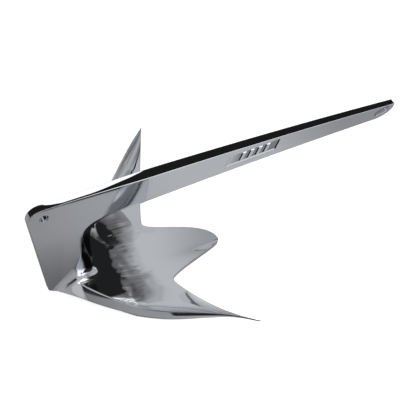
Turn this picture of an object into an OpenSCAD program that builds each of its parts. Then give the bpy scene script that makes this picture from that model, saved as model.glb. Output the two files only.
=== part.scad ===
// Claw anchor: a straight shank on a crown plate, let into a three-fluke palm.
// Frame: +X from the crown towards the shank tip, +Y to port, +Z up.
// The flat of the palm's belly stands on Z = 0, and the origin is below the middle of the length.

/* [Overall] */
// Length from the back of the crown to the shank tip
total_length = 447; // [440:1:460]
// Width across the two side fluke tips
span = 298; // [290:1:306]
// Height from the belly of the palm to the top of the shank
height = 182; // [178:1:186]

/* [Shank] */
// Depth of the shank at its seam with the crown plate
shank_depth_root = 40; // [38:0.5:42]
// Depth of the shank where the nose begins to round up
shank_depth_tip = 20; // [18:0.5:23]
// Thickness of the shank at the crown plate
shank_thick_root = 12.4; // [11:0.1:14]
// Thickness of the shank at its tip
shank_thick_tip = 7.8; // [6.8:0.1:9]
// Rise of the gently arched top edge above its two ends
arch_rise = 5; // [3:0.5:6]
// Length of the rounded nose
nose_length = 26; // [20:1:30]
// Width of the shackle eye, a slanted slot
eye_width = 6.8; // [6:0.2:8]
// Distance between the centres of the slot's two ends
eye_travel = 13; // [10:0.5:15]
// Depth of the weight panel pressed into the starboard side
panel_depth = 1; // [0.4:0.1:1.2]

/* [Crown plate] */
// Thickness of the crown plate at its back
crown_thick = 8.4; // [7:0.1:10]
// Forward lean of the back edge, as a share of its height
crown_lean = 0.2; // [0.16:0.01:0.24]
// Corner radius at the top of the back edge
crown_radius = 15; // [10:1:18]
// Distance from the back of the crown to the front of the neck
neck_front = 77; // [75:1:80]
// Radius of the throat, where the neck turns into the shank
throat_radius = 25; // [22:1:27]
// Diameter of the trip-line hole
trip_hole_d = 9.4; // [8:0.1:11]

/* [Palm and flukes] */
// Height of the palm's back rim
rim_height = 35.5; // [34:0.5:37]
// Height of the side fluke tips
tip_height = 71; // [66:1:76]
// Distance from the back of the crown to the tip of the centre fluke
tongue_reach = 243.5; // [238:0.5:250]
// Greatest thickness of the palm
palm_thick = 42; // [38:1:46]
// Height of the band along the back rim, beside the neck
band_height = 16.5; // [14:0.5:18]
// Distance of the two fluke seams from the middle of the palm
seam_offset = 62; // [60:1:68]

/* [Welds] */
// Width of the polished weld in each seam
weld_width = 3; // [2:0.5:4]
// Reach of the neck's root welds out over the palm
root_reach = 9; // [7:0.5:11]
// Height of the root welds up the side of the neck
root_rise = 22; // [18:1:26]

/* [Hidden] */
$fn = 48;
steel = [0.78, 0.80, 0.82];
weld_steel = [0.66, 0.69, 0.72];
half_span = span / 2;

function mix(a, b, t) = a + (b - a) * t;
// A step from 0 to 1, eased at both ends
function ease(t) = let (c = min(max(t, 0), 1)) c * c * (3 - 2 * c);
// The larger of two lengths, rounded where they cross
function round_max(a, b, r) = (a + b + sqrt(pow(a - b, 2) + r * r)) / 2;
// The least of four lengths, rounded where they cross
function round_min(a, b, c, d) = pow(pow(a, -4) + pow(b, -4) + pow(c, -4) + pow(d, -4), -0.25);

// A closed skin over rings that have the same number of points.
// Its ends are ladders between the two halves of a ring, or fans from its first point.
module skin(rings, fans = false) {
    n = len(rings[0]);
    last = len(rings) - 1;
    walls = [for (i = [0:last - 1], j = [0:n - 1])
        let (a = i * n + j, b = i * n + (j + 1) % n)
        each [[b, a, b + n], [a, a + n, b + n]]];
    ladder = [for (j = [0:n / 2 - 2])
        each [[j, j + 1, n - 2 - j], [j, n - 2 - j, n - 1 - j]]];
    fan = [for (j = [1:n - 2]) [0, j, j + 1]];
    cap = fans ? fan : ladder;
    far_cap = [for (t = cap) [t[2] + last * n, t[1] + last * n, t[0] + last * n]];
    polyhedron([for (ring = rings) each ring], concat(walls, cap, far_cap));
}

// ---- Palm and flukes: each section lies in a plane of constant Y, s from the middle ----
rim_start = 57;
rim_bend = 40;
rim_sweep = 1.25;
tongue_half = 52;
tongue_blunt = 2.1;
tongue_taper = 3;
notch_round = 6;
notch_x = 154;
fluke_root_x = 141;
fluke_sweep = 0.446;
edge_height = 28.5;
// The middle of the centre fluke dips more and more towards its tip
tongue_drop = 12.5;
trough_half = 15;
trough_curl = 2;
belly_flat = 5;
// Where the rim and the front edge begin to climb towards the side fluke tips
rim_climb_from = 61;
rim_climb = half_span - 70;
edge_climb_from = 42;
// The inner face sags most in the middle of each side fluke, and not at all at its tip
hollow_least = 2.5;
hollow_extra = 3;
hollow_from = 20;
hollow_rise = 60;
hollow_tip = 40;
// Beside the neck the inner face drops from the rim to a soft fold, and runs out flatter from there
scoop_x = 118;
scoop_sweep = 9;
fold_least = 0.12;
scoop_depth = 5.5;
scoop_soft = 0.08;
scoop_to = 45;
scoop_fade = 30;
// Thickness of the toe at the root and the tip, and the slopes that the outer face starts with
toe_root = 6;
toe_tip = 2;
toe_slope = 0.75;
band_tip = 2;
band_slope = 1.4;
tip_thick = 3;
thin_from = 30;
thin_run = half_span - 42;
steps_along = 18;
function rim_x(s) = rim_start + sqrt(pow(rim_sweep * s, 2) + pow(rim_bend, 2)) - rim_bend;
function rim_z(s) = mix(rim_height, tip_height, ease((s - rim_climb_from) / rim_climb));
function tongue_x(s) = mix(notch_x, tongue_reach,
    pow(1 - pow(min(s / tongue_half, 1), tongue_blunt), tongue_taper));
function edge_x(s) = round_max(tongue_x(s), fluke_root_x + fluke_sweep * s, notch_round);
function edge_z(s) = edge_height
    + (tip_height - edge_height) * pow(max(s - edge_climb_from, 0) / (half_span - edge_climb_from), 2);
function hollow(s) = (hollow_least + hollow_extra * sin(180 * s / half_span))
    * min((half_span - s) / hollow_tip, 1) * ease((s - hollow_from) / hollow_rise);
function fold_x(s) = scoop_x - scoop_sweep * pow(min(s / scoop_to, 1), 2);
function scoop(s, u) = let (fold = max((fold_x(s) - rim_x(s)) / (edge_x(s) - rim_x(s)), fold_least))
    s > scoop_to + scoop_fade ? 0
    : scoop_depth * (1 - ease((s - scoop_to) / scoop_fade))
        * -round_max(-u / fold, (u - 1) / (1 - fold), scoop_soft);
function trough(s, u) = tongue_drop * exp(-pow(s / trough_half, 2)) * pow(u, trough_curl);
function top_z(s, u) = mix(rim_z(s), edge_z(s), u) - trough(s, u) - hollow(s) * 4 * u * (1 - u)
    - scoop(s, u);
function band(s) = band_height - (band_height - band_tip) * pow(s / half_span, 1.6);
function thickness(s, u) = let (x = mix(rim_x(s), edge_x(s), u), k = s / half_span)
    min(top_z(s, u), round_min(top_z(s, u) + belly_flat, band(s) + band_slope * (x - rim_x(s)),
        mix(toe_root, toe_tip, k) + toe_slope * (edge_x(s) - x),
        mix(palm_thick, tip_thick, ease((s - thin_from) / thin_run))));
// The outer face leans out below the rim
lean_root = 8;
lean_tip = 0.5;
lean_run = 0.06;
function rim_lean(s, u) = mix(lean_root, lean_tip, s / half_span) * exp(-u / lean_run);
function upper(y, u) = let (s = abs(y)) [mix(rim_x(s), edge_x(s), u), y, top_z(s, u)];
function lower(y, u) = upper(y, u) - [rim_lean(abs(y), u), 0, thickness(abs(y), u)];
function section(y) = concat([for (i = [0:steps_along]) upper(y, i / steps_along)],
    [for (i = [steps_along:-1:0]) lower(y, i / steps_along)]);
// Height of the palm's inner face at a place in plan
function palm_z(x, y) = top_z(y, (x - rim_x(y)) / (edge_x(y) - rim_x(y)));
// The length of claw between two planes of constant Y
module claw(from, to, steps) skin([for (i = [0:steps]) section(mix(from, to, i / steps))]);

// ---- Crown plate: each row runs from the front of the neck to the back or top edge ----
plate_flat_x = 42;
seam_x = 131;
foot_z = 40;
foot_back_z = 29.5;
foot_slope = 0.75;
// From the top of the crown down to the top of the throat
throat_drop = 43;
// The front of the neck swells at its foot and draws in at the throat
neck_swell = 2;
neck_waist = 5;
// How far back the rounded front edge reaches, on the neck and on the shank
nose_neck = 15;
nose_shank = 6;
arch_x = 245;
arch_half = 235;
function top_edge(x) = height - arch_rise * pow((x - arch_x) / arch_half, 2);
crown_top = top_edge(crown_radius);
neck_top = crown_top - throat_drop - throat_radius;
nose_steps = 6;
lean_angle = atan(crown_lean);
// The back edge leans, and is tangent to the rounded corner above it
back_line = crown_radius * (1 - sqrt(1 + pow(crown_lean, 2)))
    + crown_lean * (crown_top - crown_radius);
function half_thick(x) = mix(crown_thick, shank_thick_root,
    min(max((x - plate_flat_x) / (seam_x - plate_flat_x), 0), 1)) / 2;
function back_x(z) = back_line - crown_lean * z;
function front_x(z) = neck_front + mix(neck_swell, -neck_waist, ease((z - foot_z) / (neck_top - foot_z)));
function foot_bottom(x) = max(1, foot_back_z - foot_slope * max(x - back_x(foot_back_z), 0));
// The outline behind the throat: up the back edge, round the corner and along the top
corner = [crown_radius, crown_top - crown_radius];
function corner_at(t) = corner + crown_radius
    * [cos(mix(180 + lean_angle, 90, t)), sin(mix(180 + lean_angle, 90, t))];
throat = [neck_front - neck_waist + throat_radius, neck_top];
function throat_at(t) = throat + throat_radius * [cos(mix(180, 90, t)), sin(mix(180, 90, t))];
seam_low = top_edge(seam_x) - shank_depth_root;
neck_rows = [for (i = [0:6]) let (z = mix(foot_z, neck_top, i / 6))
    [[front_x(z), z], [back_x(z), z]]];
back_rows = [for (i = [1:3]) [throat_at(i / 12), mix(neck_rows[6][1], corner_at(0), i / 3)]];
corner_rows = [for (i = [1:5]) [throat_at((3 + i) / 12), corner_at(i / 5)]];
top_rows = [for (i = [1:4]) let (x = mix(corner.x, throat.x, i / 4))
    [throat_at((8 + i) / 12), [x, top_edge(x)]]];
arm_rows = [for (i = [1:4]) let (x = mix(throat.x, seam_x, i / 4))
    [[x, mix(throat_at(1).y, seam_low, i / 4)], [x, top_edge(x)]]];
rows = concat(neck_rows, back_rows, corner_rows, top_rows, arm_rows);
// How far each row is along the throat and the arm, where the rounded front edge squares up
function squaring(r) = ease((rows[r][0].x - throat.x) / (seam_x - throat.x));
function nose_depth(r) = mix(nose_neck, nose_shank, max(squaring(r), ease((r - 6) / 8)));
function swell(t, sharp) = sharp + (1 - sharp) * sqrt(max(1 - pow(1 - min(t, 1), 2), 0));
function row_points(r) = let (
    front = rows[r][0], back = rows[r][1], size = norm(back - front),
    depth = nose_depth(r), sharp = mix(0.1, 1, squaring(r)))
    [for (j = [0:nose_steps + 4])
        let (d = j <= nose_steps ? depth * (1 - cos(90 * j / nose_steps))
                : mix(depth, size, (j - nose_steps) / 4),
            p = mix(front, back, d / size))
        [p.x, half_thick(p.x) * swell(d / depth, sharp), p.y]];
function both_sides(points) = concat(points,
    [for (j = [len(points) - 1:-1:0]) [points[j].x, -points[j].y, points[j].z]]);
foot_points = [for (p = row_points(0)) let (x = max(p.x, back_x(foot_back_z)))
    [x, p.y, foot_bottom(x)]];

// ---- Root welds: each section has a corner, a toe on the palm and a top on the plate ----
rim_share = 0.35;
flare_steps = 4;
// Where the weld's upper edge runs: over the rim, and down the back of the plate
over_rim_x = 52;
down_back_x = 30;
// Reach of the weld along the band, at the rim and at the belly
band_reach_rim = 14;
band_reach_belly = 28;
plate_side = half_thick(neck_front);
function on_band(s, w) = mix(upper(s, 0), lower(s, 0), w);
// The foot of the neck in plan, from the palm's rim to the middle of the nose
function neck_outline(t) = let (flat = neck_front + neck_swell - nose_depth(0))
    t < 0.4 ? [mix(rim_x(plate_side), flat, t / 0.4), half_thick(mix(rim_start, flat, t / 0.4))]
    : let (a = 90 * (t - 0.4) / 0.6, x = flat + nose_depth(0) * sin(a))
        [x, half_thick(x) * (0.1 + 0.9 * cos(a)) * (t < 1 ? 1 : 0)];
function outward(t) = t < 0.4 ? [0, 1] : let (a = 90 * (t - 0.4) / 0.6) [sin(a), cos(a)];
function weld_foot(v, q) = v < rim_share
    ? let (w = 1 - v / rim_share)
        on_band(mix(plate_side, mix(band_reach_rim, band_reach_belly, w), q), w)
    : let (t = (v - rim_share) / (1 - rim_share),
        p = neck_outline(t) + outward(t) * root_reach * q)
        [p.x, p.y, palm_z(p.x, p.y)];
function weld_top(v) = v < rim_share
    ? let (w = 1 - v / rim_share, x = mix(over_rim_x, down_back_x, w))
        [x, half_thick(x), mix(rim_height + root_rise, foot_back_z - 1, w)]
    : let (t = (v - rim_share) / (1 - rim_share), base = weld_foot(v, 0),
        rise = root_rise * mix(1, 0.5, ease(t)))
        [mix(over_rim_x, base.x, min(t / 0.3, 1)), base.y, base.z + rise];
function weld_section(v) = let (
    c = weld_foot(v, 0), top = weld_top(v), toe = weld_foot(v, 1), power = mix(1.2, 1.8, ease(v / 0.6)))
    concat([for (i = [0:flare_steps]) weld_foot(v, i / flare_steps)],
        [for (i = [1:5]) c + (top - c) * pow(i / 6, power) + (toe - c) * pow(1 - i / 6, power)],
        [top]);
module root_weld() skin([for (i = [0:20]) weld_section(i / 20)], true);

// ---- Shank: an exact side profile cut to a tapered plan ----
nose_x = total_length - nose_length;
function low_edge(x) = top_edge(x) - mix(shank_depth_root, shank_depth_tip,
    (x - seam_x) / (nose_x - seam_x));
tip_face = 3;
module shank_profile() {
    nose_rise = top_edge(total_length) - tip_face - low_edge(nose_x);
    polygon(concat(
        [for (i = [0:12]) let (x = mix(total_length, seam_x, i / 12)) [x, top_edge(x)]],
        [for (i = [0:8]) let (x = mix(seam_x, nose_x, i / 8)) [x, low_edge(x)]],
        [for (a = [10:10:90]) [nose_x + nose_length * sin(a),
            low_edge(nose_x) + nose_rise * (1 - cos(a))]]));
}
module shank_body(from, to) {
    intersection() {
        translate([0, shank_thick_root, 0]) rotate([90, 0, 0])
            linear_extrude(2 * shank_thick_root) shank_profile();
        linear_extrude(2 * height) polygon([[seam_x, -shank_thick_root / 2],
            [total_length, -shank_thick_tip / 2], [total_length, shank_thick_tip / 2],
            [seam_x, shank_thick_root / 2]]);
        translate([from, -shank_thick_root, 0])
            cube([to - from, 2 * shank_thick_root, 2 * height]);
    }
}
eye_slope = 19;
eye_inset = 22.5;
eye_drop = 9.5;
eye_back = [total_length - eye_inset, top_edge(total_length) - eye_drop];
module shackle_eye() {
    translate([eye_back.x, 0, eye_back.y]) rotate([0, -eye_slope, 0]) {
        for (x = [0, eye_travel]) translate([x, 0, 0]) rotate([90, 0, 0])
            cylinder(d = eye_width, h = 2 * shank_thick_root, center = true);
        translate([eye_travel / 2, 0, 0])
            cube([eye_travel, 2 * shank_thick_root, eye_width], center = true);
    }
}
// A slanted panel sunk into the starboard side, with plain raised bars standing in it
panel_from = 226;
panel_drop = 16;
panel_length = 63;
panel_height = 15;
panel_slope = 4;
panel_slant = 17;
bar_from = 17;
bar_pitch = 10;
bar_width = 5;
bar_height = 11;
module slanted_block(at, size, tall) {
    lean = tan(panel_slant) * tall / 2;
    translate([at, 0, 0]) rotate([90, 0, 0]) linear_extrude(shank_thick_root)
        polygon([[-lean, -tall / 2], [size - lean, -tall / 2],
            [size + lean, tall / 2], [lean, tall / 2]]);
}
module weight_panel() {
    depth = mix(shank_thick_root, shank_thick_tip,
        (panel_from + panel_length / 2 - seam_x) / (total_length - seam_x)) / 2;
    taper = atan((shank_thick_root - shank_thick_tip) / 2 / (total_length - seam_x));
    translate([panel_from, panel_depth - depth, top_edge(panel_from) - panel_drop])
        rotate([0, -panel_slope, taper]) difference() {
            slanted_block(0, panel_length, panel_height);
            for (i = [0:3]) slanted_block(bar_from + bar_pitch * i, bar_width, bar_height);
        }
}

module shank_bar() {
    color(steel) difference() {
        shank_body(seam_x + weld_width, total_length);
        shackle_eye();
        weight_panel();
    }
}
// Centre of the trip-line hole, from the back of the crown and down from its top
hole_back = 17.5;
hole_drop = 14.5;
module crown_plate() {
    color(steel) difference() {
        skin(concat([both_sides(foot_points)],
            [for (r = [0:len(rows) - 1]) both_sides(row_points(r))]));
        translate([hole_back, 0, crown_top - hole_drop]) rotate([90, 0, 0])
            cylinder(d = trip_hole_d, h = 3 * crown_thick, center = true);
    }
}
// The slot that the crown plate's foot stands in
module foot_slot() {
    side = row_points(0);
    outline = concat([for (p = side) if (p.x > plate_flat_x) [p.x, p.y]],
        [[plate_flat_x, crown_thick / 2], [-1, crown_thick / 2]]);
    translate([0, 0, -1]) linear_extrude(height / 2) polygon(concat(outline,
        [for (i = [len(outline) - 1:-1:0]) [outline[i].x, -outline[i].y]]));
}
module palm() {
    color(steel) difference() {
        claw(-seam_offset, seam_offset, 44);
        foot_slot();
    }
}
module port_fluke() color(steel) claw(seam_offset + weld_width, half_span, 18);
module starboard_fluke() mirror([0, 1, 0]) port_fluke();
module shank_weld() color(weld_steel) shank_body(seam_x, seam_x + weld_width);
module port_fluke_weld() color(weld_steel) claw(seam_offset, seam_offset + weld_width, 1);
module starboard_fluke_weld() mirror([0, 1, 0]) port_fluke_weld();
module port_root_weld() color(weld_steel) root_weld();
module starboard_root_weld() mirror([0, 1, 0]) port_root_weld();

// Puts the origin below the middle of the length
module centred() translate([-total_length / 2, 0, 0]) children();

centred() shank_bar();
centred() crown_plate();
centred() palm();
centred() port_fluke();
centred() starboard_fluke();
centred() shank_weld();
centred() port_fluke_weld();
centred() starboard_fluke_weld();
centred() port_root_weld();
centred() starboard_root_weld();
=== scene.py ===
import math

import bmesh
import bpy
import numpy as np
from mathutils import Matrix, Vector
from mathutils.geometry import delaunay_2d_cdt


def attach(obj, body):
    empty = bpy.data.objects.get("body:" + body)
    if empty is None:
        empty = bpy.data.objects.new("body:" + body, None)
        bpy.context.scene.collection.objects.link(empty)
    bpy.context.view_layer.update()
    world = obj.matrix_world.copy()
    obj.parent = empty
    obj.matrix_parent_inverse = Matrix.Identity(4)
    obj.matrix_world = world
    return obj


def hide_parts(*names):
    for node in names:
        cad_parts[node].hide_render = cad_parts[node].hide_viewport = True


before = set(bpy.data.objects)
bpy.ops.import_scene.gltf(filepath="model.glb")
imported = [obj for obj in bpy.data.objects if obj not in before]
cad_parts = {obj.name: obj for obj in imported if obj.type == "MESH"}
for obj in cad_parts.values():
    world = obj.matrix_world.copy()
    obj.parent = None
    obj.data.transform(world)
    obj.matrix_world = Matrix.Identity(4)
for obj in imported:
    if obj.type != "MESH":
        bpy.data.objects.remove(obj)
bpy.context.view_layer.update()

# ---------------------------------------------------------------- sizes, mm, x from the crown's back
LENGTH, SPAN, HEIGHT = 447.0, 298.0, 182.0
HALF = SPAN / 2
# shank
DEPTH_ROOT, DEPTH_TIP = 40.0, 20.0
THICK_ROOT, THICK_TIP = 12.4, 7.8
ARCH_RISE, ARCH_X, ARCH_HALF = 5.0, 245.0, 235.0
NOSE_LENGTH, TIP_FACE, TIP_ROUND, TIP_DIP = 26.0, 3.0, 1.2, 0.03
EYE_WIDTH, EYE_TRAVEL, EYE_SLOPE, EYE_INSET, EYE_DROP, EYE_ROUND = 6.8, 13.0, 19.0, 22.5, 9.5, 0.8
# panel in the starboard side, and the plain bars that stand in it
PANEL_FROM, PANEL_DROP, PANEL_LENGTH, PANEL_HEIGHT = 226.0, 16.0, 63.0, 15.0
PANEL_SLOPE, PANEL_SLANT, PANEL_DEPTH, PANEL_CORNER = 4.0, 17.0, 1.0, 0.8
BARS, BAR_FROM, BAR_PITCH, BAR_WIDTH, BAR_HEIGHT = 4, 17.0, 10.0, 5.0, 11.0
# (shrink, depth) down the panel's wall, and up a bar's
PANEL_WALL = ((-0.4, 0), (-0.15, 0.09), (0, 0.25), (0.9, PANEL_DEPTH - 0.15), (1.1, PANEL_DEPTH))
BAR_WALL = ((0.5, 0), (0.25, 0.07), (0.1, 0.25), (-0.5, PANEL_DEPTH - 0.15), (-0.7, PANEL_DEPTH))
# crown plate
CROWN_THICK, CROWN_LEAN, CROWN_RADIUS = 8.4, 0.2, 15.0
NECK_FRONT, NECK_SWELL, NECK_WAIST, THROAT_RADIUS, THROAT_DROP = 77.0, 2.0, 5.0, 25.0, 43.0
# depth of the rounded front at the neck and at the shank, and the share of the thickness left at its tip
NOSE_NECK, NOSE_SHANK, NOSE_FACE = 15.0, 6.0, 0.1
PLATE_FLAT_X, SEAM_X, FOOT_Z, FOOT_BACK_Z, FOOT_SLOPE = 42.0, 131.0, 40.0, 29.5, 0.75
HOLE_D, HOLE_BACK, HOLE_DROP, HOLE_ROUND = 9.4, 17.5, 14.5, 0.9
EDGE_ROUND = 1.1
# palm and flukes
RIM_HEIGHT, TIP_HEIGHT, TONGUE_REACH = 35.5, 71.0, 243.5
RIM_START, RIM_BEND, RIM_SWEEP, RIM_CLIMB_FROM, RIM_CLIMB = 57.0, 40.0, 1.25, 61.0, HALF - 70
TONGUE_HALF, TONGUE_BLUNT, TONGUE_TAPER, NOTCH_X, NOTCH_ROUND = 52.0, 2.1, 3.0, 154.0, 6.0
FLUKE_ROOT_X, FLUKE_SWEEP, EDGE_HEIGHT, EDGE_CLIMB_FROM = 141.0, 0.446, 28.5, 42.0
TONGUE_DROP, TROUGH_HALF, TROUGH_CURL = 12.5, 15.0, 2.0
HOLLOW_LEAST, HOLLOW_EXTRA, HOLLOW_FROM, HOLLOW_RISE, HOLLOW_TIP = 2.5, 3.0, 20.0, 60.0, 40.0
SCOOP_X, SCOOP_SWEEP, SCOOP_TO, SCOOP_FADE = 118.0, 9.0, 45.0, 30.0
SCOOP_DEPTH, SCOOP_SOFT, FOLD_LEAST = 5.5, 0.08, 0.12
PALM_THICK, TIP_THICK, THIN_FROM, THIN_RUN, BELLY_FLAT = 42.0, 3.0, 30.0, HALF - 42, 5.0
BAND_HEIGHT, BAND_TIP, BAND_SLOPE = 16.5, 2.0, 1.4
TOE_ROOT, TOE_TIP, TOE_SLOPE = 6.0, 2.0, 0.75
LEAN_ROOT, LEAN_TIP, LEAN_RUN = 8.0, 0.5, 0.06
TOE_TOP_ROUND, TOE_LOW_ROUND, BAND_ROUND, RIM_ROUND = 1.0, 1.3, 2.0, 2.4
RIPPLE, RIPPLE_X, RIPPLE_LENGTH, RIPPLE_HALF = 0.24, 114.0, 24.0, 62.0
# welds
SEAM_OFFSET, WELD = 62.0, 3.0
ROOT_REACH, ROOT_RISE, RIM_SHARE = 9.0, 22.0, 0.35
OVER_RIM_X, DOWN_BACK_X, BAND_REACH_RIM, BAND_REACH_BELLY = 52.0, 30.0, 14.0, 28.0
# how dark the shade attribute's painted shade makes the flush seams (taking back their weld finish's painted
# brightness), the band under the rim, the neck's front and the panel's corners, and the panel's floor, 0 to
# 1
SEAM_SHADE, DEEP_SHADE, PANEL_SHADE = 0.16, 0.85, 0.55


def mix(a, b, t):
    return a + (b - a) * t


def ease(t):
    c = np.clip(t, 0, 1)
    return c * c * (3 - 2 * c)


# ---------------------------------------------------------------- mesh helpers
def place(points):
    """From mm behind the crown to metres in the part's frame."""
    p = np.array(points, float)
    return np.stack([(p[..., 0] - LENGTH / 2) / 1000, p[..., 1] / 1000, p[..., 2] / 1000], -1)


def apply_modifiers(obj):
    graph = bpy.context.evaluated_depsgraph_get()
    made = bpy.data.meshes.new_from_object(obj.evaluated_get(graph), depsgraph=graph)
    old = obj.data
    obj.modifiers.clear()
    obj.data = made
    bpy.data.meshes.remove(old)


def weight_normals(obj):
    """Lets the large faces set the shading, so that flats stay flat right up to their rounded edges."""
    mod = obj.modifiers.new("normals", "WEIGHTED_NORMAL")
    mod.keep_sharp, mod.weight = True, 100
    apply_modifiers(obj)


def closed_mesh(name, verts, faces):
    """A closed mesh whose faces all point outwards."""
    mesh = bpy.data.meshes.new(name)
    mesh.from_pydata([tuple(v) for v in place(verts)], [], [tuple(int(i) for i in f) for f in faces])
    mesh.validate()
    bm = bmesh.new()
    bm.from_mesh(mesh)
    bmesh.ops.recalc_face_normals(bm, faces=bm.faces)
    if bm.calc_volume(signed=True) < 0:
        bmesh.ops.reverse_faces(bm, faces=bm.faces)
    bm.to_mesh(mesh)
    bm.free()
    for poly in mesh.polygons:
        poly.use_smooth = True
    return mesh


def add_mesh(name, verts, faces, node, slot, sharp, flat_faces=False):
    """A piece on the root body that stands for a CAD node. Edges over sharp degrees stay sharp."""
    mesh = closed_mesh(name, verts, faces)
    mesh.set_sharp_from_angle(angle=math.radians(sharp))
    obj = bpy.data.objects.new(name, mesh)
    bpy.context.collection.objects.link(obj)
    mesh.materials.append(MATERIALS[slot])
    if flat_faces:
        weight_normals(obj)
    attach(obj, "root")
    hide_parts(node)
    return obj


def shade(obj, rule):
    """Stores how far each face corner is darkened, 0 to 1, from the face's normal and the corner's place."""
    mesh = obj.data
    layer = mesh.attributes.new("shade", "FLOAT", "CORNER")
    for poly in mesh.polygons:
        for k in poly.loop_indices:
            co = mesh.vertices[mesh.loops[k].vertex_index].co * 1000
            layer.data[k].value = rule(poly.normal, co.x + LENGTH / 2, co.y, co.z)


def seam_shade(n, x, y, z):
    """The flush seams are a little darker all over, taking back most of the weld finish's painted
    brightness.
    """
    return SEAM_SHADE


def skin_faces(rings, n):
    """Quads between closed rings of n points each."""
    out = []
    for i in range(rings - 1):
        for j in range(n):
            a, b = i * n + j, i * n + (j + 1) % n
            out.append((b, a, a + n, b + n))
    return out


def ring_caps(rings, n):
    """The first ring and the last as faces."""
    return list(range(n)), [(rings - 1) * n + j for j in range(n)][::-1]


def mirrored(side):
    """A ring from one side's points, back along their mirror image."""
    return side + [[p[0], -p[1], p[2]] for p in side[::-1]]


# ---------------------------------------------------------------- palm and flukes
# s is the distance from the middle, and u runs from the back rim to the front edge
def rim_x(s):
    return RIM_START + np.sqrt((RIM_SWEEP * s) ** 2 + RIM_BEND ** 2) - RIM_BEND


def rim_z(s):
    return mix(RIM_HEIGHT, TIP_HEIGHT, ease((s - RIM_CLIMB_FROM) / RIM_CLIMB))


def tongue_x(s):
    return mix(NOTCH_X, TONGUE_REACH, (1 - np.minimum(s / TONGUE_HALF, 1) ** TONGUE_BLUNT) ** TONGUE_TAPER)


def edge_x(s):
    a, b = tongue_x(s), FLUKE_ROOT_X + FLUKE_SWEEP * s
    return (a + b + np.sqrt((a - b) ** 2 + NOTCH_ROUND ** 2)) / 2


def edge_z(s):
    climb = np.maximum(s - EDGE_CLIMB_FROM, 0) / (HALF - EDGE_CLIMB_FROM)
    return mix(EDGE_HEIGHT, TIP_HEIGHT, climb ** 2)


def trough(s, u):
    """The middle of the centre fluke dips more and more towards its tip."""
    return TONGUE_DROP * np.exp(-(s / TROUGH_HALF) ** 2) * u ** TROUGH_CURL


def hollow(s):
    """The inner face sags most in the middle of each side fluke, and not at all at its tip."""
    sag = HOLLOW_LEAST + HOLLOW_EXTRA * np.sin(np.pi * s / HALF)
    return sag * np.minimum((HALF - s) / HOLLOW_TIP, 1) * ease((s - HOLLOW_FROM) / HOLLOW_RISE)


def scoop(s, u):
    """The palm drops away from its rim down to a soft fold, and runs out flatter from there."""
    fold_x = SCOOP_X - SCOOP_SWEEP * np.minimum(s / SCOOP_TO, 1) ** 2
    fold = np.maximum((fold_x - rim_x(s)) / (edge_x(s) - rim_x(s)), FOLD_LEAST)
    a, b = u / fold, (1 - u) / (1 - fold)
    low = (a + b - np.sqrt((a - b) ** 2 + SCOOP_SOFT ** 2)) / 2
    return SCOOP_DEPTH * (1 - ease((s - SCOOP_TO) / SCOOP_FADE)) * low


def top_z(s, u):
    return mix(rim_z(s), edge_z(s), u) - trough(s, u) - hollow(s) * 4 * u * (1 - u) - scoop(s, u)


def band(s):
    return BAND_HEIGHT - (BAND_HEIGHT - BAND_TIP) * (s / HALF) ** 1.6


def thickness(s, u):
    """The least of four rules, rounded where they cross, and never down past the ground."""
    x, top = mix(rim_x(s), edge_x(s), u), top_z(s, u)
    belly = top + BELLY_FLAT
    back = band(s) + BAND_SLOPE * (x - rim_x(s))
    toe = mix(TOE_ROOT, TOE_TIP, s / HALF) + TOE_SLOPE * (edge_x(s) - x)
    palm = mix(PALM_THICK, TIP_THICK, ease((s - THIN_FROM) / THIN_RUN)) + 0 * x
    return np.minimum(top, sum(np.asarray(v, float) ** -4.0 for v in (belly, back, toe, palm)) ** -0.25)


def ripple(x, y):
    """Shallow ridges left by the press, running forward from the fold of the palm."""
    fold = RIPPLE_X + 0.06 * y - 0.0065 * min(y, 0) ** 2
    t = (x - fold) / RIPPLE_LENGTH
    reach = ease(t * 3 + 0.6) * np.exp(-np.maximum(t, 0) ** 2 * 1.3)
    reach = reach * float(ease((RIPPLE_HALF - abs(y)) / 10))
    waves = (0.7 * np.sin(y * 0.83 + 0.05 * x) + 1.2 * np.sin(y * 0.41 + 1.3 - 0.03 * x)
             + 0.25 * np.sin(y * 1.7 + 0.5 + 0.11 * x) + 0.5 * np.sin(x * 0.42 + y * 0.13))
    return RIPPLE * reach * waves


def upper(y, u):
    """The upper face at y, for an array of u."""
    s = abs(y)
    x = mix(rim_x(s), edge_x(s), u)
    return np.stack([x, y + 0 * u, top_z(s, u) + ripple(x, y)], -1)


def lower(y, u):
    """The lower face, whose back leans out from under the rim."""
    s = abs(y)
    p = upper(y, u)
    p[:, 0] -= mix(LEAN_ROOT, LEAN_TIP, s / HALF) * np.exp(-u / LEAN_RUN)
    p[:, 2] = top_z(s, u) - thickness(s, u)
    return p


def resample(line, start, end, n):
    """n points of a polyline, from start along it to end short of its far end, and closest near both."""
    run = np.r_[0, np.cumsum(np.linalg.norm(np.diff(line, axis=0), axis=1))]
    t = start + (run[-1] - end - start) * (0.5 - 0.5 * np.cos(np.pi * np.arange(n) / (n - 1)))
    return np.stack([np.interp(t, run, line[:, k]) for k in range(3)], -1)


def rounded_ring(lines, counts, radii, arc=8):
    """A closed ring from polylines that meet at corners, with each corner rounded by its radius."""
    size = [np.linalg.norm(np.diff(q, axis=0), axis=1).sum() for q in lines]
    m = len(lines)
    trim = [min(radii[i], 0.45 * size[i], 0.45 * size[(i + 1) % m]) for i in range(m)]
    kept = [resample(lines[i], trim[i - 1], trim[i], counts[i]) for i in range(m)]
    # this weight makes the curve round a square corner an arc
    t, w = (np.arange(1, arc) / arc)[:, None], 0.7071
    out = []
    for i in range(m):
        a, c, b = kept[i][-1], lines[i][-1], kept[(i + 1) % m][0]
        weights = (1 - t) ** 2, 2 * w * t * (1 - t), t ** 2
        out += [kept[i], (weights[0] * a + weights[1] * c + weights[2] * b) / sum(weights)]
    return np.concatenate(out)


FINE = 0.5 - 0.5 * np.cos(np.pi * np.arange(241) / 240)


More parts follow.
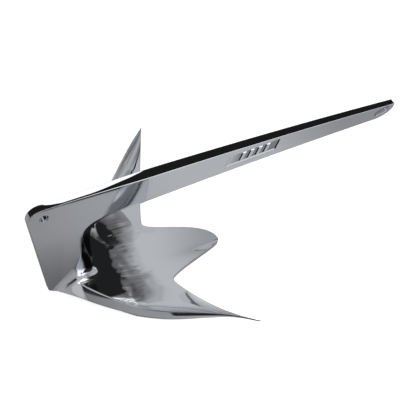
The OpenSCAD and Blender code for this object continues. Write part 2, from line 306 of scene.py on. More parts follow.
def claw_ring(y):
    """The claw's section at y: along the upper face, the toe, the lower face and up the back."""
    up, low = upper(y, FINE), lower(y, FINE[::-1])
    straight = np.linspace(0, 1, 9)[:, None]
    toe = up[-1] + (low[0] - up[-1]) * straight
    back = low[-1] + (up[0] - low[-1]) * straight
    return rounded_ring([up, toe, low, back], [96, 5, 96, 10],
                        [TOE_TOP_ROUND, TOE_LOW_ROUND, BAND_ROUND, RIM_ROUND])


def rim_shade(n, x, y, z):
    """Painted shade along the top of the band, beside the neck."""
    s = abs(y)
    below = rim_z(s) - z
    if n.z > 0.6 or n.x > -0.3 or x > rim_x(s) + 3:
        return 0.0
    reach = mix(7.5, 2.0, float(ease((s - 18) / 36)))
    return DEEP_SHADE * float(ease((reach - below) / 2.5) * ease((56 - s) / 8) * ease((below - 0.8) / 0.6))


def claw(name, y0, y1, steps, node, slot="polished_stainless", mask=None):
    """The length of claw between two planes of constant Y."""
    rings = [claw_ring(y) for y in np.linspace(y0, y1, steps + 1)]
    n = len(rings[0])
    obj = add_mesh(name, np.concatenate(rings), [*skin_faces(len(rings), n), *ring_caps(len(rings), n)],
                   node, slot, sharp=60)
    if mask:
        shade(obj, mask)


# ---------------------------------------------------------------- crown plate
def top_edge(x):
    return HEIGHT - ARCH_RISE * ((x - ARCH_X) / ARCH_HALF) ** 2


CROWN_TOP = top_edge(CROWN_RADIUS)
NECK_TOP = CROWN_TOP - THROAT_DROP - THROAT_RADIUS
LEAN = math.atan(CROWN_LEAN)
BACK_LINE = (CROWN_RADIUS * (1 - math.sqrt(1 + CROWN_LEAN ** 2))
             + CROWN_LEAN * (CROWN_TOP - CROWN_RADIUS))
CORNER = np.array([CROWN_RADIUS, CROWN_TOP - CROWN_RADIUS])
THROAT = np.array([NECK_FRONT - NECK_WAIST + THROAT_RADIUS, NECK_TOP])
SEAM_LOW = top_edge(SEAM_X) - DEPTH_ROOT


def half_thick(x):
    """Half the crown plate's thickness, easing from the flat plate up to the shank's."""
    t = np.clip((x - PLATE_FLAT_X) / (SEAM_X - PLATE_FLAT_X), 0, 1)
    return mix(CROWN_THICK, THICK_ROOT, t) / 2


def back_x(z):
    return BACK_LINE - CROWN_LEAN * z


def front_x(z):
    return NECK_FRONT + mix(NECK_SWELL, -NECK_WAIST, ease((z - FOOT_Z) / (NECK_TOP - FOOT_Z)))


def corner_at(t):
    a = mix(math.pi + LEAN, math.pi / 2, t)
    return CORNER + CROWN_RADIUS * np.array([math.cos(a), math.sin(a)])


def throat_at(t):
    a = mix(math.pi, math.pi / 2, t)
    return THROAT + THROAT_RADIUS * np.array([math.cos(a), math.sin(a)])


NECK_ROWS, BACK_ROWS, CORNER_ROWS, TOP_ROWS, ARM_ROWS = 40, 12, 24, 20, 24


def crown_rows():
    """(front, back) of each row across the plate, from the foot up the neck and out along the arm."""
    rows = []
    for i in range(NECK_ROWS):
        z = mix(FOOT_Z, NECK_TOP, i / NECK_ROWS)
        rows.append(([front_x(z), z], [back_x(z), z]))
    for i in range(BACK_ROWS):
        z = mix(NECK_TOP, corner_at(0)[1], i / BACK_ROWS)
        rows.append((throat_at(i / BACK_ROWS / 4), [back_x(z), z]))
    for i in range(CORNER_ROWS):
        rows.append((throat_at(1 / 4 + i / CORNER_ROWS * 5 / 12), corner_at(i / CORNER_ROWS)))
    for i in range(TOP_ROWS):
        x = mix(CORNER[0], THROAT[0], i / TOP_ROWS)
        rows.append((throat_at(2 / 3 + i / TOP_ROWS / 3), [x, top_edge(x)]))
    for i in range(ARM_ROWS + 1):
        x = mix(THROAT[0], SEAM_X, i / ARM_ROWS)
        rows.append(([x, mix(throat_at(1)[1], SEAM_LOW, i / ARM_ROWS)], [x, top_edge(x)]))
    return [(np.array(f, float), np.array(b, float)) for f, b in rows]


def crown_section(front, back, order):
    """One side of a row: a round front that squares up along the arm, a flat flank and a small back edge."""
    size = np.linalg.norm(back - front)
    squaring = float(ease((front[0] - THROAT[0]) / (SEAM_X - THROAT[0]))) if front[1] > NECK_TOP else 0.0
    depth = mix(NOSE_NECK, NOSE_SHANK, max(squaring, order))
    sharp = mix(NOSE_FACE, 1, squaring)
    # (distance from the front, share of the half thickness, least inset from it)
    stops = []
    for j in range(17):
        d = depth * (1 - math.cos(math.pi / 2 * j / 16))
        swell = sharp + (1 - sharp) * math.sqrt(max(1 - (1 - min(d / depth, 1)) ** 2, 0))
        edge = EDGE_ROUND - math.sqrt(max(EDGE_ROUND ** 2 - max(EDGE_ROUND - d, 0) ** 2, 0))
        stops.append((d, swell, edge if squaring else 0))
    for j in range(1, 15):
        stops.append((mix(depth, size - EDGE_ROUND, j / 14), 1, 0))
    for j in range(1, 6):
        a = math.pi / 2 * j / 5
        stops.append((size - EDGE_ROUND * (1 - math.sin(a)), 1, EDGE_ROUND * (1 - math.cos(a))))
    pts = []
    for d, share, inset in stops:
        x, z = mix(front, back, d / size)
        pts.append([x, min(half_thick(x) * share, half_thick(x) - inset), z])
    return pts


def foot_rings(side):
    """The plate's foot, which follows the palm down inside it, from its rounded lower edge up."""
    back = back_x(FOOT_BACK_Z)
    foot = [[max(p[0], back), p[1], max(1.0, FOOT_BACK_Z - FOOT_SLOPE * max(p[0] - back, 0))] for p in side]
    rings = []
    for t in (0.0, 0.02, 0.04, 0.2, 0.5):
        row = [[mix(f[k], p[k], t) for k in range(3)] for f, p in zip(foot, side)]
        if t < 0.03:
            inset = EDGE_ROUND * (1 - math.sqrt(max(1 - (1 - t / 0.04) ** 2, 0)))
            row = [[q[0], max(q[1] - inset, 0.05), q[2]] for q in row]
        rings.append(mirrored(row))
    return rings


def neck_shade(n, x, y, z):
    """Painted dark reflection on the front of the neck, up to the throat."""
    return DEEP_SHADE * float(ease((n.x + 0.01) / 0.06) * ease((NECK_TOP + 12 - z) / 14))


def crown():
    sides = [crown_section(front, back, float(ease((r - NECK_ROWS) / 50)))
             for r, (front, back) in enumerate(crown_rows())]
    rings = foot_rings(sides[0]) + [mirrored(side) for side in sides]
    n = len(rings[0])
    ladder = [(j, j + 1, n - 2 - j, n - 1 - j) for j in range(n // 2 - 1)]
    far = [tuple(i + (len(rings) - 1) * n for i in f[::-1]) for f in ladder]
    obj = add_mesh("crown_plate_body", np.concatenate([np.array(r) for r in rings]),
                   skin_faces(len(rings), n) + ladder + far, "crown_plate", "polished_stainless", sharp=40)
    cutter = hole_cutter()
    cut = obj.modifiers.new("hole", "BOOLEAN")
    cut.object, cut.operation, cut.solver = cutter, "DIFFERENCE", "EXACT"
    apply_modifiers(obj)
    bpy.data.objects.remove(cutter)
    obj.data.set_sharp_from_angle(angle=math.radians(40))
    weight_normals(obj)
    # paints the dark reflection down the neck's front into the colour
    shade(obj, neck_shade)


def hole_cutter(steps=64):
    """A turned solid along Y that cuts the trip-line hole, with a small rounding at both mouths."""
    r, h = HOLE_D / 2, CROWN_THICK / 2
    half = [(h + 1, r + HOLE_ROUND)]
    for j in range(7):
        a = math.pi / 2 * j / 6
        half.append((h - HOLE_ROUND * (1 - math.cos(a)), r + HOLE_ROUND * (1 - math.sin(a))))
    profile = [(-y, q) for y, q in half] + [(y, q) for y, q in half[::-1]]
    verts = []
    for y, q in profile:
        for i in range(steps):
            a = 2 * math.pi * i / steps
            verts.append([HOLE_BACK + q * math.cos(a), y, CROWN_TOP - HOLE_DROP + q * math.sin(a)])
    obj = bpy.data.objects.new("hole_cutter", closed_mesh("hole_cutter", verts, [
        *skin_faces(len(profile), steps), *ring_caps(len(profile), steps)]))
    bpy.context.collection.objects.link(obj)
    return obj


# ---------------------------------------------------------------- root welds
# v runs along a weld, from the belly up the band to the rim, then along the flank and round the neck's front
PLATE_SIDE = float(half_thick(NECK_FRONT))
FLANK_END = NECK_FRONT + NECK_SWELL - NOSE_NECK
FLANK_SHARE = 0.4


def palm_z(x, y):
    s = abs(y)
    return float(top_z(s, (x - rim_x(s)) / (edge_x(s) - rim_x(s))))


def on_band(s, w):
    """A point of the band at s, from the rim at w = 0 down to the belly at w = 1."""
    u = np.array([0.0])
    return mix(upper(s, u)[0], lower(s, u)[0], w)


def neck_outline(t):
    """A point of the neck's outline in plan, and the direction out of it there."""
    if t < FLANK_SHARE:
        share = t / FLANK_SHARE
        side = float(half_thick(mix(RIM_START, FLANK_END, share)))
        return (mix(rim_x(PLATE_SIDE), FLANK_END, share), side), (0, 1)
    a = math.pi / 2 * (t - FLANK_SHARE) / (1 - FLANK_SHARE)
    x = FLANK_END + NOSE_NECK * math.sin(a)
    side = float(half_thick(x)) * mix(math.cos(a), 1, NOSE_FACE) if t < 1 else 0.0
    return (x, side), (math.sin(a), math.cos(a))


def weld_foot(v, q):
    """Across the weld's foot at v, from the plate at q = 0 out to its toe at q = 1."""
    if v < RIM_SHARE:
        w = 1 - v / RIM_SHARE
        return on_band(mix(PLATE_SIDE, mix(BAND_REACH_RIM, BAND_REACH_BELLY, w), q), w)
    at, out = neck_outline((v - RIM_SHARE) / (1 - RIM_SHARE))
    x, y = at[0] + out[0] * ROOT_REACH * q, at[1] + out[1] * ROOT_REACH * q
    return np.array([x, y, palm_z(x, y)])


def weld_top(v):
    """Where the weld runs out up the plate."""
    if v < RIM_SHARE:
        w = 1 - v / RIM_SHARE
        x = mix(OVER_RIM_X, DOWN_BACK_X, w)
        return np.array([x, float(half_thick(x)), mix(RIM_HEIGHT + ROOT_RISE, FOOT_BACK_Z - 1, w)])
    t = (v - RIM_SHARE) / (1 - RIM_SHARE)
    base = weld_foot(v, 0)
    rise = ROOT_RISE * mix(1, 0.5, float(ease(t)))
    return np.array([mix(OVER_RIM_X, base[0], min(t / 0.3, 1)), base[1], base[2] + rise])


def root_weld(name, node, sign, steps=80):
    rings = []
    for i in range(steps + 1):
        v = i / steps
        root, top, toe = weld_foot(v, 0), weld_top(v), weld_foot(v, 1)
        power = mix(1.2, 1.8, float(ease(v / 0.6)))
        ring = [weld_foot(v, j / 4) for j in range(5)]
        for j in range(1, 18):
            t = j / 18
            ring.append(root + (top - root) * t ** power + (toe - root) * (1 - t) ** power)
        ring.append(top)
        rings.append([[p[0], sign * p[1], p[2]] for p in ring])
    n = len(rings[0])
    faces = [*skin_faces(len(rings), n), *ring_caps(len(rings), n)]
    if sign < 0:
        faces = [f[::-1] for f in faces]
    add_mesh(name, np.concatenate([np.array(r) for r in rings]), faces, node, "polished_weld", sharp=60)


# ---------------------------------------------------------------- shank
NOSE_X = LENGTH - NOSE_LENGTH
SHANK_START = SEAM_X + WELD
ROUND_STEPS = 5


def low_edge(x):
    return top_edge(x) - mix(DEPTH_ROOT, DEPTH_TIP, (x - SEAM_X) / (NOSE_X - SEAM_X))


def shank_half(x):
    return mix(THICK_ROOT, THICK_TIP, (x - SEAM_X) / (LENGTH - SEAM_X)) / 2


def turned(x, z, degrees):
    a = math.radians(degrees)
    return x * math.cos(a) - z * math.sin(a), x * math.sin(a) + z * math.cos(a)


def inside(p, loop):
    hit, n = False, len(loop)
    for i in range(n):
        (x1, y1), (x2, y2) = loop[i], loop[(i + 1) % n]
        if (y1 > p[1]) != (y2 > p[1]) and p[0] < (x2 - x1) * (p[1] - y1) / (y2 - y1) + x1:
            hit = not hit
    return hit


def offset_loop(loop, d):
    """Moves a closed anticlockwise 2D loop inwards by d, along the mean normal at each point."""
    p = np.array(loop, float)
    normals = []
    for edge in (p - np.roll(p, 1, 0), np.roll(p, -1, 0) - p):
        edge /= np.linalg.norm(edge, axis=1)[:, None]
        normals.append(np.stack([-edge[:, 1], edge[:, 0]], -1))
    mean = normals[0] + normals[1]
    return p + mean / (np.linalg.norm(mean, axis=1) ** 2 / 2)[:, None] * d


class Plate:
    """Builds a tapered plate face by face: caps in the side planes and walls between loops."""

    def __init__(self, half):
        self.half, self.verts, self.faces = half, [], []

    def loop(self, points, inset, side):
        start = len(self.verts)
        for x, z in points:
            self.verts.append([x, side * (self.half(x) - inset), z])
        return list(range(start, start + len(points)))

    def wall(self, a, b, flip):
        for i in range(len(a)):
            j = (i + 1) % len(a)
            f = (a[i], a[j], b[j], b[i])
            self.faces.append(f[::-1] if flip else f)

    def walls(self, loops, flip):
        for a, b in zip(loops, loops[1:]):
            self.wall(a, b, flip)

    def flat(self, loop):
        return [(self.verts[i][0], self.verts[i][2]) for i in loop]

    def cap(self, outer, holes, flip):
        """Fills a loop, apart from its holes, with triangles between the loops' own points."""
        loops = [outer, *holes]
        edges, at = [], 0
        for q in loops:
            edges += [(at + i, at + (i + 1) % len(q)) for i in range(len(q))]
            at += len(q)
        ids = [i for q in loops for i in q]
        points = [Vector(p) for p in self.flat(ids)]
        spots, _, triangles, source, _, _ = delaunay_2d_cdt(points, edges, [], 0, 1e-7)
        for t in triangles:
            centre = sum((spots[i] for i in t), Vector((0, 0))) / 3
            if not inside(centre, self.flat(outer)) or any(inside(centre, self.flat(q)) for q in holes):
                continue
            f = tuple(ids[source[i][0]] for i in t)
            (ax, az), (bx, bz), (cx, cz) = self.flat(f)
            clockwise = (bx - ax) * (cz - az) - (bz - az) * (cx - ax) < 0
            self.faces.append(f[::-1] if clockwise != flip else f)


def shank_outline():
    """Anticlockwise from the seam's low corner: along the bottom, round the nose, back along the top."""
    low = [(x, low_edge(x)) for x in np.linspace(SHANK_START, NOSE_X, 60)]
    corner = top_edge(LENGTH)
    rise = corner - TIP_FACE - low_edge(NOSE_X)
    nose = [(NOSE_X + NOSE_LENGTH * math.sin(a), low_edge(NOSE_X) + rise * (1 - math.cos(a)))
            for a in np.radians(np.arange(4, 91, 3.58))]
    tip = [(LENGTH - TIP_ROUND * (1 - math.cos(a)),
            corner - TIP_ROUND * (1 - math.sin(a)) - TIP_DIP * (1 - math.cos(a)))
           for a in np.radians(np.arange(0, 90, 15))]
    top = [(x, top_edge(x)) for x in np.linspace(LENGTH - TIP_ROUND, SHANK_START, 64)]
    return low + nose + tip + top


def eye_loop(grow, steps=20):
    """The outline of the slot for the shackle, anticlockwise, grown by a distance."""
    r = EYE_WIDTH / 2 + grow
    pts = []
    for centre, start in ((EYE_TRAVEL, -90), (0, 90)):
        for a in np.radians(start + 180 / steps * np.arange(steps + 1)):
            x, z = turned(centre + r * math.cos(a), r * math.sin(a), EYE_SLOPE)
            pts.append((LENGTH - EYE_INSET + x, top_edge(LENGTH) - EYE_DROP + z))
    return pts


def slanted_loop(at, width, tall, shrink, steps=4):
    """A parallelogram with small round corners, anticlockwise, that starts at a distance along the panel."""
    lean = math.tan(math.radians(PANEL_SLANT)) * tall / 2
    raw = offset_loop([(-lean, -tall / 2), (width - lean, -tall / 2),
                       (width + lean, tall / 2), (lean, tall / 2)], shrink)
    pts = []
    for i in range(4):
        a, c, b = raw[i - 1], raw[i], raw[(i + 1) % 4]
        start = c + (a - c) / np.linalg.norm(a - c) * PANEL_CORNER
        end = c + (b - c) / np.linalg.norm(b - c) * PANEL_CORNER
        for t in np.arange(steps + 1) / steps:
            p = (1 - t) ** 2 * start + 2 * t * (1 - t) * c + t * t * end
            x, z = turned(at + p[0], p[1], PANEL_SLOPE)
            pts.append((PANEL_FROM + x, top_edge(PANEL_FROM) - PANEL_DROP + z))
    return pts


def shank_rim(plate, side):
    """Loops from the flat of one side out round its edge, kept square to the seam at the root."""
    outline, loops = shank_outline(), []
    for a in np.linspace(0, math.pi / 2, ROUND_STEPS + 1):
        pts = offset_loop(outline, EDGE_ROUND * (1 - math.sin(a)))
        pts[:, 0] = np.maximum(pts[:, 0], SHANK_START)
        pts[0, 0] = pts[-1, 0] = SHANK_START
        loops.append(plate.loop(pts, EDGE_ROUND * (1 - math.cos(a)), side))
    plate.walls(loops, side > 0)
    return loops


def eye_rim(plate, side):
    """Loops from the flat of one side in round the edge of the shackle's slot."""
    loops = [plate.loop(eye_loop(EYE_ROUND * (1 - math.sin(a))), EYE_ROUND * (1 - math.cos(a)), side)
             for a in np.linspace(0, math.pi / 2, ROUND_STEPS + 1)]
    plate.walls(loops, side < 0)
    return loops


def panel(plate):
    """Sinks the panel into the starboard side, with its bars standing in it, and returns its outline."""
    outer = [plate.loop(slanted_loop(0, PANEL_LENGTH, PANEL_HEIGHT, s), d, -1) for s, d in PANEL_WALL]
    plate.walls(outer, True)
    feet = []
    for i in range(BARS):
        bar = [plate.loop(slanted_loop(BAR_FROM + BAR_PITCH * i, BAR_WIDTH, BAR_HEIGHT, s), d, -1)
               for s, d in BAR_WALL]
        plate.walls(bar, False)
        plate.cap(bar[0], [], True)
        feet.append(bar[-1])
    plate.cap(outer[-1], feet, True)
    return outer[0]


def panel_shade(n, x, y, z):
    """Painted shade in the corners of the panel and between its bars, except along its lower wall, which
    keeps its bright reflection.
    """
    if y > 0 or not PANEL_FROM - 4 < x < PANEL_FROM + PANEL_LENGTH + 6 or abs(n.z) > 0.9:
        return 0.0
    if not -14 < z - top_edge(x) + PANEL_DROP - 0.07 * (x - PANEL_FROM) < 14:
        return 0.0
    if shank_half(x) + y < 0.05:
        return 0.0
    if n.y < -0.97:
        return PANEL_SHADE * float(ease((x - PANEL_FROM - 10) / 6))
    return 0.0 if n.z > 0.3 else DEEP_SHADE


def shank():
    plate = Plate(shank_half)
    rims, eyes = {}, {}
    for side in (1, -1):
        rim, eye = shank_rim(plate, side), eye_rim(plate, side)
        holes = [eye[0]] if side > 0 else [eye[0], panel(plate)]
        plate.cap(rim[0], holes, side < 0)
        rims[side], eyes[side] = rim[-1], eye[-1]
    plate.wall(rims[1], rims[-1], True)
    plate.wall(eyes[1], eyes[-1], False)
    obj = add_mesh("shank_bar_body", plate.verts, plate.faces, "shank_bar", "polished_stainless",
                   sharp=35, flat_faces=True)
    # paints shade into the panel's recess
    shade(obj, panel_shade)


def seam_strip():
    """The flush weld between the crown plate and the shank."""
    rings, r = [], EDGE_ROUND
    for x in np.linspace(SEAM_X, SHANK_START, 4):
        h, lo, hi = shank_half(x) - r, low_edge(x) + r, top_edge(x) - r
        ring = []
        for y, z, start in ((h, hi, 0), (-h, hi, 90), (-h, lo, 180), (h, lo, 270)):
            for a in np.radians(start + 18 * np.arange(6)):
                ring.append([x, y + r * math.cos(a), z + r * math.sin(a)])
        rings.append(ring)
    n = len(rings[0])
    obj = add_mesh("shank_weld_body", np.concatenate([np.array(q) for q in rings]),
                   [*skin_faces(len(rings), n), *ring_caps(len(rings), n)],
                   "shank_weld", "polished_weld", sharp=60, flat_faces=True)
    shade(obj, seam_shade)


# ---------------------------------------------------------------- materials
class Nodes:
    """Short names for building shader nodes."""

    def __init__(self, tree):
        self.tree = tree
        tree.nodes.clear()

    def set(self, socket, value):
        if isinstance(value, bpy.types.NodeSocket):
            self.tree.links.new(value, socket)
        else:
            socket.default_value = value

    def fill(self, node, **inputs):
        for name, value in inputs.items():
            self.set(node.inputs[name.replace("_", " ")], value)
        return node

    def add(self, kind, **inputs):
        return self.fill(self.tree.nodes.new(kind), **inputs)

    def math(self, op, *values):
        node = self.tree.nodes.new("ShaderNodeMath")
        node.operation = op
        for socket, value in zip(node.inputs, values):
            self.set(socket, value)
        return node.outputs[0]

    def times(self, first, *others):
        for value in others:
            first = self.math("MULTIPLY", first, value)
        return first

    def line(self, value, gain, offset):
        """The value times the gain, plus the offset."""
        return self.math("MULTIPLY_ADD", value, gain, offset)

    def step(self, value, lo, hi):
        """0 below lo and 1 above hi, or the other way round where lo is the larger."""
        flip = lo > hi
        node = self.add("ShaderNodeMapRange")
        node.interpolation_type = "SMOOTHSTEP"
        self.fill(node, Value=value, From_Min=min(lo, hi), From_Max=max(lo, hi),
                  To_Min=int(flip), To_Max=int(not flip))
        return node.outputs[0]

    def between(self, value, start, full, fade, end):
        """1 from full to fade, and 0 before start and beyond end."""
        return self.times(self.step(value, start, full), self.step(value, end, fade))


def new_material(name):
    mat = bpy.data.materials.new(name)
    mat.use_nodes = True
    return mat, Nodes(mat.node_tree)


MATERIALS = {}


def steel(name, colour, rough, scratch):
    """Mirror polish: faint haze from the polishing wheel, fine lines, a slow wave and the shade mask, which
    paints shade and dark reflections into the colour.
    """
    mat, n = new_material(name)
    spot = n.add("ShaderNodeTexCoord").outputs["Object"]
    haze = n.add("ShaderNodeTexNoise", Vector=spot, Scale=60, Detail=4)
    roughness = n.add("ShaderNodeMapRange", Value=haze.outputs["Fac"], From_Min=0.35, From_Max=0.7,
                      To_Min=rough, To_Max=rough * 1.8)
    along = n.add("ShaderNodeMapping", Vector=spot, Scale=(1, 6, 6))
    lines = n.add("ShaderNodeTexNoise", Vector=along.outputs[0], Scale=900, Detail=2, Roughness=0.6)
    wave = n.add("ShaderNodeTexNoise", Vector=spot, Scale=14, Detail=2)
    relief = n.add("ShaderNodeBump", Strength=0.25, Distance=0.0006,
                   Height=n.line(lines.outputs["Fac"], scratch, wave.outputs["Fac"]))
    # the shade attribute darkens the colour towards black: painted shade and dark reflections
    mask = n.add("ShaderNodeAttribute")
    mask.attribute_name = "shade"
    tone = n.add("ShaderNodeMix")
    tone.data_type = "RGBA"
    n.fill(tone, Factor=mask.outputs["Fac"], A=(*colour, 1), B=(0, 0, 0, 1))
    surface = n.add("ShaderNodeBsdfPrincipled", Metallic=1.0, Base_Color=tone.outputs["Result"],
                    Roughness=roughness.outputs[0], Normal=relief.outputs[0])
    n.add("ShaderNodeOutputMaterial", Surface=surface.outputs[0])
    MATERIALS[name] = mat


# ---------------------------------------------------------------- camera, in metres, and mm for its lens
LENS, SENSOR = 85.71, 36.0
CAMERA_AT = Vector((-0.4515, -0.5651, 0.9605))
CAMERA_RIGHT, CAMERA_UP = Vector((0.8736, -0.463, 0.1496)), Vector((0.284, 0.7351, 0.6156))


def camera():
    cam = bpy.data.cameras.new("camera")
    cam.lens, cam.sensor_width = LENS, SENSOR
    cam.clip_start, cam.clip_end = 0.01, 50
    obj = bpy.data.objects.new("camera", cam)
    bpy.context.collection.objects.link(obj)
    back = CAMERA_RIGHT.cross(CAMERA_UP).normalized()
    up = back.cross(CAMERA_RIGHT).normalized()
    turn = Matrix((CAMERA_RIGHT.normalized(), up, back)).transposed().to_4x4()
    obj.matrix_world = Matrix.Translation(CAMERA_AT) @ turn
    bpy.context.scene.camera = obj


# ---------------------------------------------------------------- studio
def sheet(name, corners, faces, mat):
    mesh = bpy.data.meshes.new(name)
    mesh.from_pydata(corners, [], faces)
    obj = bpy.data.objects.new(name, mesh)
    bpy.context.collection.objects.link(obj)
    mesh.materials.append(mat)
    return obj


def card(name, corners, faces, brightness):
    """A reflector or flag that only reflections see, with a number or a function of its nodes for glow."""
    mat, n = new_material(name)
    glow = n.add("ShaderNodeEmission", Strength=brightness(n) if callable(brightness) else brightness)
    n.add("ShaderNodeOutputMaterial", Surface=glow.outputs[0])
    obj = sheet(name, corners, faces, mat)
    obj.visible_camera = obj.visible_diffuse = obj.visible_shadow = False
    obj.visible_transmission = obj.visible_volume_scatter = False


# where the two strips over the crown meet, (x, y) in mm, x from the crown's back
JOINT = [(13, 9.5), (17, 4.5), (25, 1.6), (38, -0.6), (72, -0.6), (84, 0.3), (97, 1.8), (113, 3.6),
         (127, 6.0), (140, 9.5)]
STRIP_RISE, STRIP_STEPS, CARD_SIDE, FLAG_SIDE = 2.5, 80, 9.5, -7.0


def strip(name, line, side, brightness):
    """A card that follows the arched top edge at a small height, from a line in plan out to one side."""
    xs = np.linspace(line[0][0], line[-1][0], STRIP_STEPS)
    inner = np.interp(xs, [q[0] for q in line], [q[1] for q in line])
    verts = place([[x, y, top_edge(x) + STRIP_RISE] for x, y in zip(xs, inner)]
                  + [[x, side, top_edge(x) + STRIP_RISE] for x in xs])
    faces = [(i, i + 1, STRIP_STEPS + 1 + i, STRIP_STEPS + i) for i in range(STRIP_STEPS - 1)]
    card(name, [tuple(v) for v in verts], faces, brightness)


# the card over the centre fluke, (x, y) in mm in the part's frame
PALM_CARD = [(-135, -45), (-45, -50), (-10, -20), (65, -20), (65, 90), (-5, 90), (-30, 50), (-45, 35),
             (-65, 48), (-70, 88), (-118, 88), (-118, 45), (-135, 45)]
PALM_CARD_Z = 50.0


def palm_glow(n):
    """Brightest over the middle of the palm, a little duller ahead, and fading out raggedly behind."""
    spot = n.add("ShaderNodeTexCoord").outputs["Object"]
    x, y, _ = n.add("ShaderNodeSeparateXYZ", Vector=spot).outputs
    wisps = n.add("ShaderNodeTexNoise", Vector=spot, Scale=85.0, Detail=1.0).outputs[0]
    ragged = n.line(n.math("SUBTRACT", wisps, 0.5), 0.022, x)
    ragged = n.line(n.math("MAXIMUM", n.math("SUBTRACT", y, 0.03), 0.0), -0.4, ragged)
    ahead = n.line(n.step(x, -0.06, 0.04), -0.20, 0.57)
    behind = n.line(n.step(ragged, -0.10, -0.066), 0.82, n.times(n.step(ragged, -0.103, -0.099), 0.18))
    return n.line(ahead, behind, 0.016)


FLOOR_HALF, FLOOR_Z = 6.0, -0.0002
FLOOR_WHITE, FLOOR_LIFT = 0.86, 0.8


def floor():
    """White paper to the camera. The steel sees other tones in it, set in metres in the part's frame."""
    mat, n = new_material("studio_floor")
    seen = n.add("ShaderNodeLightPath").outputs["Is Camera Ray"]
    spot = n.add("ShaderNodeTexCoord").outputs["Object"]
    x, y, _ = n.add("ShaderNodeSeparateXYZ", Vector=spot).outputs
    starboard = n.times(y, -1.0)
    clouds = n.add("ShaderNodeTexNoise", Scale=9.0, Detail=1.0).outputs[0]
    # painted shadow: dimmer close to the anchor; also dimmer behind it and far ahead
    tone = n.times(n.line(n.step(n.math("ABSOLUTE", y), 0.02, 0.10), 0.42, 0.50),
                   n.line(n.step(x, -0.19, 0.04), 0.46, 0.76),
                   n.line(n.step(x, 0.13, 0.30), -0.40, 1.0),
                   n.line(clouds, 0.5, 0.75))
    # a dark cloth lies out to starboard, and its aft edge has a step in it
    aft = n.line(n.step(starboard, 0.16, 0.19), 0.1, x)
    cloth = n.times(n.between(starboard, 0.134, 0.138, 0.38, 0.42),
                    n.times(n.step(x, -0.02, -0.04), n.step(aft, -0.17, -0.15)))
    tone = n.times(tone, n.line(cloth, -0.95, 1.0))
    tone = n.math("MAXIMUM", tone, n.times(seen, FLOOR_WHITE))
    grey = n.add("ShaderNodeCombineColor", Red=tone, Green=tone, Blue=tone)
    paper = n.add("ShaderNodeBsdfDiffuse", Color=grey.outputs[0])
    lift = n.add("ShaderNodeEmission", Strength=n.times(seen, FLOOR_LIFT))
    both = n.add("ShaderNodeAddShader")
    n.set(both.inputs[0], paper.outputs[0])
    n.set(both.inputs[1], lift.outputs[0])
    n.add("ShaderNodeOutputMaterial", Surface=both.outputs[0])
    h, z = FLOOR_HALF, FLOOR_Z
    sheet("floor", [(-h, -h, z), (h, -h, z), (h, h, z), (-h, h, z)], [(0, 1, 2, 3)], mat)


def surroundings():
    """Far screens and lamps, placed by degrees of azimuth, from port towards ahead, and of height."""
    world = bpy.data.worlds.new("studio")
    bpy.context.scene.world = world
    world.use_nodes = True
    n = Nodes(world.node_tree)
    direction = n.add("ShaderNodeTexCoord").outputs["Generated"]
    x, y, z = n.add("ShaderNodeSeparateXYZ", Vector=direction).outputs
    azimuth = n.math("DEGREES", n.math("ARCTAN2", x, y))
    height = n.math("DEGREES", n.math("ARCSINE", z))

    def patch(across, up):
        return n.times(n.between(azimuth, *across), n.between(height, *up))

    # a dark screen stands ahead and to port, leaning over: its edge goes further round the higher it is
    edge = n.line(n.math("MAXIMUM", n.math("SUBTRACT", height, 34.0), 0.0), 0.85, 33.0)
    screen = n.times(n.step(n.math("SUBTRACT", azimuth, edge), -1.0, 1.0), n.step(azimuth, 118.0, 108.0),
                     n.between(height, 12.0, 17.0, 53.5, 56.0))
    # another stands behind the crown, and a low one to starboard of that
    behind = n.times(n.between(azimuth, -80.0, -74.0, -13.0, -10.0), n.step(height, 60.0, 57.0))
    aside = patch((-128.0, -124.0, -82.0, -78.0), (-4.0, 0.0, 40.0, 46.0))
    dark = n.math("MAXIMUM", n.math("MAXIMUM", screen, behind), aside)
    # a large soft lamp hangs on the starboard side
    lamp = n.add("ShaderNodeVectorMath", Vector=direction)
    lamp.operation = "DOT_PRODUCT"
    lamp.inputs[1].default_value = Vector((0.38, -0.75, 0.54)).normalized()
    rim, middle = math.cos(math.radians(22)), math.cos(math.radians(12))
    glow = n.times(n.step(lamp.outputs["Value"], rim, middle), 0.95)
    # the room is a little lighter overhead, and the screen is lit grey along its near side
    light = n.line(n.step(height, -10.0, 80.0), 0.08, 0.47)
    fringe = patch((24.5, 31.0, 118.0, 130.0), (8.0, 18.0, 50.0, 56.0))
    light = n.times(light, n.line(fringe, -0.55, 1.0))
    # a white strip stands on the floor below the screen
    low = patch((34.0, 38.0, 52.0, 58.0), (-6.0, -3.0, 7.0, 9.0))
    light = n.math("ADD", light, n.times(low, 0.9))
    # a thin dark post leans to port of it, and the light is stronger beyond
    leaning = n.line(height, 0.47, azimuth)
    post = n.times(n.step(n.math("ABSOLUTE", n.math("SUBTRACT", leaning, 29.6)), 2.4, 1.0),
                   n.between(height, 9.0, 12.0, 55.0, 60.0))
    beyond = n.times(n.step(leaning, 29.0, 10.0), n.step(azimuth, -14.0, -4.0),
                     n.between(height, 9.0, 14.0, 56.0, 62.0))
    light = n.times(light, n.line(post, -0.75, n.line(beyond, 0.7, 1.0)))
    light = n.times(n.math("ADD", light, glow), n.line(dark, -0.972, 1.0))
    # and the foot of the screen is grey
    foot = patch((45.0, 49.0, 63.0, 67.0), (6.0, 9.0, 30.0, 36.0))
    light = n.math("ADD", n.times(light, n.math("SUBTRACT", 1.0, foot)), n.times(foot, 0.21))
    # the camera sees plain white
    seen = n.add("ShaderNodeLightPath").outputs["Is Camera Ray"]
    back = n.add("ShaderNodeBackground", Color=(1, 1, 1, 1), Strength=n.math("MAXIMUM", light, seen))
    n.add("ShaderNodeOutputWorld", Surface=back.outputs[0])


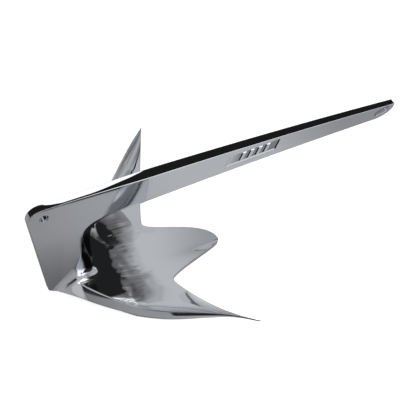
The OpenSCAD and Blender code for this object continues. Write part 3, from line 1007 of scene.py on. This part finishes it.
# metres and watts
KEY_AT, KEY_SIZE, KEY_POWER = (0.7, -1.3, 1.8), 1.6, 4.7


def key_light():
    """A large lamp for the shadow on the floor, which reflections don't see."""
    key = bpy.data.lights.new("key", "AREA")
    key.shape, key.size, key.size_y, key.energy = "RECTANGLE", KEY_SIZE, KEY_SIZE, KEY_POWER
    obj = bpy.data.objects.new("key", key)
    bpy.context.collection.objects.link(obj)
    obj.location = KEY_AT
    obj.rotation_mode = "QUATERNION"
    obj.rotation_quaternion = (-obj.location).to_track_quat("-Z", "Y")
    obj.visible_glossy = False


def studio():
    floor()
    surroundings()
    # a black flag lies close above the top edge, and a white card behind it over the crown
    strip("crown_card", JOINT, CARD_SIDE, 1.35)
    strip("shank_flag", [(-14, CARD_SIDE), *JOINT, (445, CARD_SIDE)], FLAG_SIDE, 0.012)
    card("palm_card", [(x / 1000, y / 1000, PALM_CARD_Z / 1000) for x, y in PALM_CARD],
         [tuple(range(len(PALM_CARD)))], palm_glow)
    key_light()
    view = bpy.context.scene.view_settings
    view.view_transform, view.look = "Standard", "None"


# ---------------------------------------------------------------- build
# the last slice of each side fluke stops this far short of its point, mm
TIP_GAP = 0.05

steel("polished_stainless", (0.762, 0.788, 0.832), 0.04, 0.02)
# the weld finish is a lighter copy of the steel: painted brightness that makes the root welds reflect
# brighter
steel("polished_weld", (0.915, 0.94, 0.975), 0.06, 0.03)
camera()
studio()
claw("palm_body", -SEAM_OFFSET, SEAM_OFFSET, 220, "palm", mask=rim_shade)
claw("port_fluke_body", SEAM_OFFSET + WELD, HALF - TIP_GAP, 90, "port_fluke")
claw("starboard_fluke_body", -HALF + TIP_GAP, -SEAM_OFFSET - WELD, 90, "starboard_fluke")
claw("port_fluke_weld_body", SEAM_OFFSET, SEAM_OFFSET + WELD, 4, "port_fluke_weld",
     "polished_weld", seam_shade)
claw("starboard_fluke_weld_body", -SEAM_OFFSET - WELD, -SEAM_OFFSET, 4, "starboard_fluke_weld",
     "polished_weld", seam_shade)
crown()
root_weld("port_root_weld_body", "port_root_weld", 1)
root_weld("starboard_root_weld_body", "starboard_root_weld", -1)
shank()
seam_strip()
